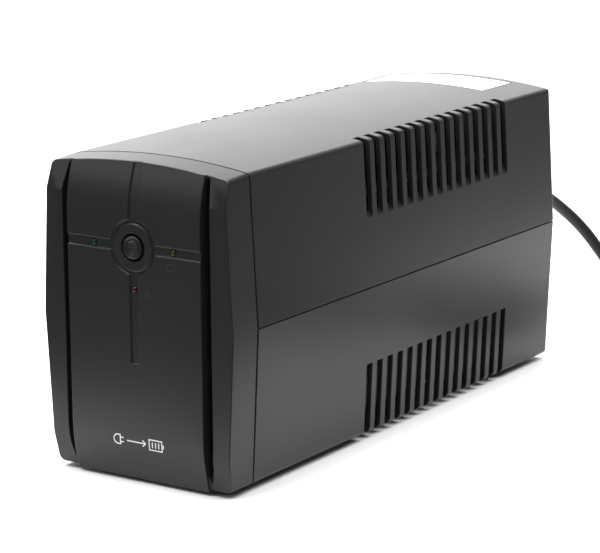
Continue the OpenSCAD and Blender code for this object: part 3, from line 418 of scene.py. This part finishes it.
BUTTON_FACE = FRONT_Y - 0.6
BUTTON_R = 5.0
DISH_DEPTH = 0.8
FLANGE_Y = FRONT_Y + 4.6
cap_profile = (
    [(0, FRONT_Y + 8.7), (2, FRONT_Y + 8.7), (2, FLANGE_Y + 1)]
    + [(8, FLANGE_Y + 1), (8, FLANGE_Y), (BUTTON_R, FLANGE_Y)]
    + rounded(BUTTON_R - 0.35, BUTTON_FACE + 0.35, 0.35, 0, 150)
    + [(4.05, BUTTON_FACE + 0.5), (3.6, BUTTON_FACE + 0.62)]
    + rounded(3.1, BUTTON_FACE + 0.42, 0.16, 30, 150)
    + [(2.6, BUTTON_FACE + 0.62), (1.9, BUTTON_FACE + 0.72), (1.0, BUTTON_FACE + 0.78)]
    + [(0, BUTTON_FACE + DISH_DEPTH)]
)
cap = turned("power_button_cap", cap_profile, (0, CROSS_Z))
paint(cap, "button_plastic")
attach(cap, "button")
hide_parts("power_button")


# ---- printed marks ----
def ring_points(x, z, r, a0=0, a1=360, steps=24):
    angles = [math.radians(a0 + (a1 - a0) * i / steps) for i in range(steps + 1)]
    return [(x + r * math.cos(a), z + r * math.sin(a)) for a in angles]


def printed(name, lines, width, face_y, lift=0.03):
    """Thin strokes of ink that follow a front face, each through (x, z) points in millimetres."""
    bm = bmesh.new()
    for line in lines:
        fine = [Vector(line[0])]
        for a, b in zip(line, line[1:]):
            steps = max(1, round((Vector(b) - Vector(a)).length / 1.5))
            fine += [Vector(a).lerp(Vector(b), (i + 1) / steps) for i in range(steps)]
        closed = (fine[0] - fine[-1]).length < 0.01
        pairs = []
        for i, p in enumerate(fine):
            before = fine[i - 1] if i else (fine[-2] if closed else p)
            after = fine[i + 1] if i + 1 < len(fine) else (fine[1] if closed else p)
            one, two = (p - before), (after - p)
            one = one.normalized() if one.length else two.normalized()
            two = two.normalized() if two.length else one
            along = (one + two).normalized()
            across = Vector((-along.y, along.x)) * (width / 2 / max(0.5, along.dot(two)))
            pairs.append([
                bm.verts.new(Vector((q.x, face_y(q.x, q.y) - lift, q.y)) * MM) for q in (p + across, p - across)
            ])
        for one, two in zip(pairs, pairs[1:]):
            bm.faces.new((one[0], one[1], two[1], two[0]))
    bmesh.ops.recalc_face_normals(bm, faces=bm.faces)
    for face in bm.faces:
        if face.normal.y > 0:
            face.normal_flip()
    return new_object(name, bm)


def on_panel(x, z):
    return panel_y(z)


def on_button(x, z):
    return BUTTON_FACE + DISH_DEPTH - 0.02 * (x * x + (z - CROSS_Z) ** 2)


def box_points(x0, z0, x1, z1):
    return [(x0, z0), (x1, z0), (x1, z1), (x0, z1), (x0, z0)]


lamp_icons = printed("lamp_icons", [
    # mains wave beside the green lamp
    [(-22.6 + 3.2 * t / 12, 98.6 + 1.1 * math.sin(2 * math.pi * t / 12)) for t in range(13)],
    # battery under the amber lamp
    box_points(17.8, 97.2, 22.2, 99.8), [(22.7, 98.0), (22.7, 99.0)],
    # fault mark beside the red lamp
    [(5.9, 84.9), (9.1, 84.9), (7.5, 88.0), (5.9, 84.9)], [(7.5, 85.8), (7.5, 86.9)],
], 0.3, on_panel)
paint(lamp_icons, "bezel_plastic", FAINT_INK)
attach(lamp_icons, "housing")

MARK_Z = 19.2
pictogram = printed("front_pictogram", [
    # plug with two pins
    ring_points(-10.6, MARK_Z, 2.1, 90, 270, 12)
    + [(-9.2, MARK_Z - 2.1), (-9.2, MARK_Z + 2.1), (-10.6, MARK_Z + 2.1)],
    [(-9.2, MARK_Z + 1), (-7.4, MARK_Z + 1)], [(-9.2, MARK_Z - 1), (-7.4, MARK_Z - 1)],
    # line that joins them
    [(-5.6, MARK_Z), (4.4, MARK_Z)], [(2.8, MARK_Z + 1.4), (4.4, MARK_Z), (2.8, MARK_Z - 1.4)],
    # battery with its charge bars
    box_points(6.4, MARK_Z - 2.3, 13.2, MARK_Z + 2.3), [(13.9, MARK_Z - 0.9), (13.9, MARK_Z + 0.9)],
    [(8.1, MARK_Z - 1.3), (8.1, MARK_Z + 1.3)], [(9.8, MARK_Z - 1.3), (9.8, MARK_Z + 1.3)],
    [(11.5, MARK_Z - 1.3), (11.5, MARK_Z + 1.3)],
], 0.55, on_panel)
paint(pictogram, "label_film", SILVER_INK)
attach(pictogram, "housing")

power_mark = printed("power_mark", [
    ring_points(0, CROSS_Z - 0.2, 1.5, 130, 410), [(0, CROSS_Z + 0.2), (0, CROSS_Z + 1.9)],
], 0.32, on_button)
paint(power_mark, "button_plastic", FAINT_INK)
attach(power_mark, "button")


# ---- the mains lead ----
LEAD_R = 3.0
LEAD_ROUTE = [
    (26, 128, 81), (26, 142, 81), (26, 156, 81), (26.2, 163, 80), (26.9, 170, 77.4), (28.3, 177.5, 73),
    (30.8, 184, 67.8), (34.4, 190, 61.6), (39, 195.2, 54), (44.2, 199, 45.4), (49.8, 201.8, 36.6),
    (55.9, 203.6, 28.2), (62.9, 204.8, 20.4), (71, 205.4, 13.6), (80.4, 205.8, 8.2), (91, 206, 4.7),
    (101, 206, 3.3), (109.5, 206, 3),
]
COIL_AT = (118.0, 165.0)
COIL_R = 41.0
COIL_STEP = 6.1
COIL_TURNS = 13 / 3
TURN_POINTS = 24
TAIL_ROUTE = [
    (151.4, 136.4, 8.5), (148.4, 128.9, 7), (146.4, 121.4, 5.8), (145.3, 114.4, 5.8), (144.9, 108, 7.2),
    (144.9, 102.6, 9.3),
]


def ease(t):
    t = min(1.0, max(0.0, t))
    return t * t * (3 - 2 * t)


SOFT_TURN = 0.15
CLIMB_FROM, CLIMB_TURNS = 1.85, 0.3


def coil_points():
    """Two turns inwards on the floor, then outwards on top of them."""
    points = []
    count = round(COIL_TURNS * TURN_POINTS)
    for i in range(count + 1):
        turn = i * COIL_TURNS / count
        off = abs(turn - 2)
        if off < SOFT_TURN:
            off = (off * off + SOFT_TURN ** 2) / (2 * SOFT_TURN)
        r = COIL_R + COIL_STEP * (off - 2)
        z = LEAD_R + COIL_STEP * ease((turn - CLIMB_FROM) / CLIMB_TURNS)
        a = math.radians(90 - 360 * turn)
        points.append((COIL_AT[0] + r * math.cos(a), COIL_AT[1] + r * math.sin(a), z))
    return points


def swept(name, points, radius, resolution=4, sides=6):
    """A round curve of one open spline through points given in millimetres."""
    data = bpy.data.curves.new(name, "CURVE")
    data.dimensions = "3D"
    data.bevel_depth = radius * MM
    data.bevel_resolution = sides
    data.resolution_u = resolution
    data.use_fill_caps = True
    spline = data.splines.new("BEZIER")
    spline.bezier_points.add(len(points) - 1)
    for knot, p in zip(spline.bezier_points, points):
        knot.co = Vector(p) * MM
        knot.handle_left_type = knot.handle_right_type = "AUTO"
    obj = bpy.data.objects.new(name, data)
    bpy.context.scene.collection.objects.link(obj)
    return obj


def tie_band(name, at_angle, width=6.0, thick=0.7):
    """A rubber band round the coil's bundle, with a small fold where it is pinched."""
    half_r = COIL_STEP / 2 + LEAD_R + 3.4
    mid_r = COIL_R - COIL_STEP + 0.6
    top = 2 * LEAD_R + COIL_STEP
    outline = []
    for corner_r, corner_z, a0 in ((1, 1, 0), (-1, 1, 90), (-1, -1, 180), (1, -1, 270)):
        for i in range(7):
            a = math.radians(a0 + 15 * i)
            outline.append((
                mid_r + corner_r * (half_r - 3) + 3.4 * math.cos(a),
                top / 2 + corner_z * (top / 2 - 3) + 3.05 * math.sin(a),
            ))
    bm = bmesh.new()
    a = math.radians(at_angle)
    out, along = Vector((math.cos(a), math.sin(a), 0)), Vector((-math.sin(a), math.cos(a), 0))
    centre = Vector((COIL_AT[0], COIL_AT[1], 0))
    loops = []
    for inset, shift in ((0, -1), (0, -0.35), (0, 0.35), (0, 1), (1, 1), (1, -1)):
        loop = []
        for r, z in outline:
            pull = inset * thick - (0.25 if abs(shift) < 0.5 else 0)
            r = mid_r + (r - mid_r) * (1 - pull / half_r)
            z = top / 2 + (z - top / 2) * (1 - max(0, pull) / (top / 2))
            loop.append(bm.verts.new((centre + out * r + along * shift * width / 2 + Vector((0, 0, z))) * MM))
        loops.append(loop)
    for one, two in zip(loops, loops[1:] + loops[:1]):
        for i in range(len(outline)):
            k = (i + 1) % len(outline)
            bm.faces.new((one[i], one[k], two[k], two[i]))
    bmesh.ops.recalc_face_normals(bm, faces=bm.faces)
    obj = new_object(name, bm)
    smooth_by_angle(obj, 40)
    return obj


lead = swept("mains_lead", LEAD_ROUTE + coil_points() + TAIL_ROUTE, LEAD_R)
paint(lead, "cord_pvc")
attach(lead, "housing")
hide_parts("power_cord", "cord_coil", "cord_tail")
tie = tie_band("coil_tie", 215)
paint(tie, "rubber")
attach(tie, "housing")


# ---- floor and light ----
def make_floor(name, inner_r, outer_r, in_gloss):
    """An oval ring of pale paper. Only the near one shows in gloss, as on a small table in a dark room."""
    bm = bmesh.new()
    sides = 96
    centre, turn = Vector((0.0, 0.24, 0)), Matrix.Rotation(math.radians(-12), 3, "Z")
    angles = [math.tau * i / sides for i in range(sides)]
    ring = [turn @ Vector((OVAL * math.cos(a), math.sin(a), 0)) for a in angles]
    outer = [bm.verts.new(centre + v * outer_r) for v in ring]
    if inner_r:
        inner = [bm.verts.new(centre + v * inner_r) for v in ring]
        for i in range(sides):
            k = (i + 1) % sides
            bm.faces.new((inner[i], outer[i], outer[k], inner[k]))
    else:
        bm.faces.new(outer)
    mesh = bpy.data.meshes.new(name)
    bm.to_mesh(mesh)
    bm.free()
    floor = bpy.data.objects.new(name, mesh)
    floor.visible_glossy = in_gloss
    bpy.context.scene.collection.objects.link(floor)
    mesh.materials.append(PAPER)


def paper():
    s = Shader("paper")
    tone = s.mix(s.spread(s.noise(0.3), 0.0, 1.0), (0.85, 0.85, 0.85), (0.87, 0.87, 0.87))
    s.link(tone, s.bsdf.inputs["Base Color"])
    s.set(Roughness=0.95, Specular_IOR_Level=0.2)
    return s.material


def area_light(name, place, aim, size, power):
    data = bpy.data.lights.new(name, "AREA")
    data.shape = "RECTANGLE"
    data.size, data.size_y = size
    data.energy = power
    light = bpy.data.objects.new(name, data)
    light.location = place
    light.rotation_mode = "QUATERNION"
    light.rotation_quaternion = (Vector(aim) - Vector(place)).to_track_quat("-Z", "Y")
    light.visible_camera = False
    bpy.context.scene.collection.objects.link(light)
    return light


def make_world(colour, strength):
    world = bpy.data.worlds.new("studio")
    world.use_nodes = True
    back = world.node_tree.nodes["Background"]
    back.inputs["Color"].default_value = (*colour, 1)
    back.inputs["Strength"].default_value = strength
    bpy.context.scene.world = world


PAPER = paper()
OVAL, TABLE_R, FLOOR_R = 0.47, 0.48, 5.0
make_floor("table_top", 0, TABLE_R, True)
make_floor("floor", TABLE_R, FLOOR_R, False)
make_world((1.0, 1.0, 1.0), 0.1)
area_light("back_wall", (-1.2, 2.2, 0.9), (0, 0, 0.5), (4.0, 1.8), 50)
area_light("top_softbox", (-0.45, 0.1, 1.8), (-0.45, 0.1, 0), (2.0, 1.9), 88)
area_light("card_rear", (0.5, 0.85, 0.1), (0.05, 0.1, 0.12), (0.3, 0.2), 0.1)
area_light("card_front", (-1.1, -1.7, 0.9), (0, -0.14, 0.13), (2.0, 0.5), 5.2)
for name, place, power in (("fill_right", (1.2, 0.7, 2.2), 30), ("fill_front", (-0.6, -1.4, 2.4), 26)):
    area_light(name, place, (0, 0, 0), (1.2, 1.2), power).visible_glossy = False
bpy.context.scene.view_settings.view_transform = "Standard"
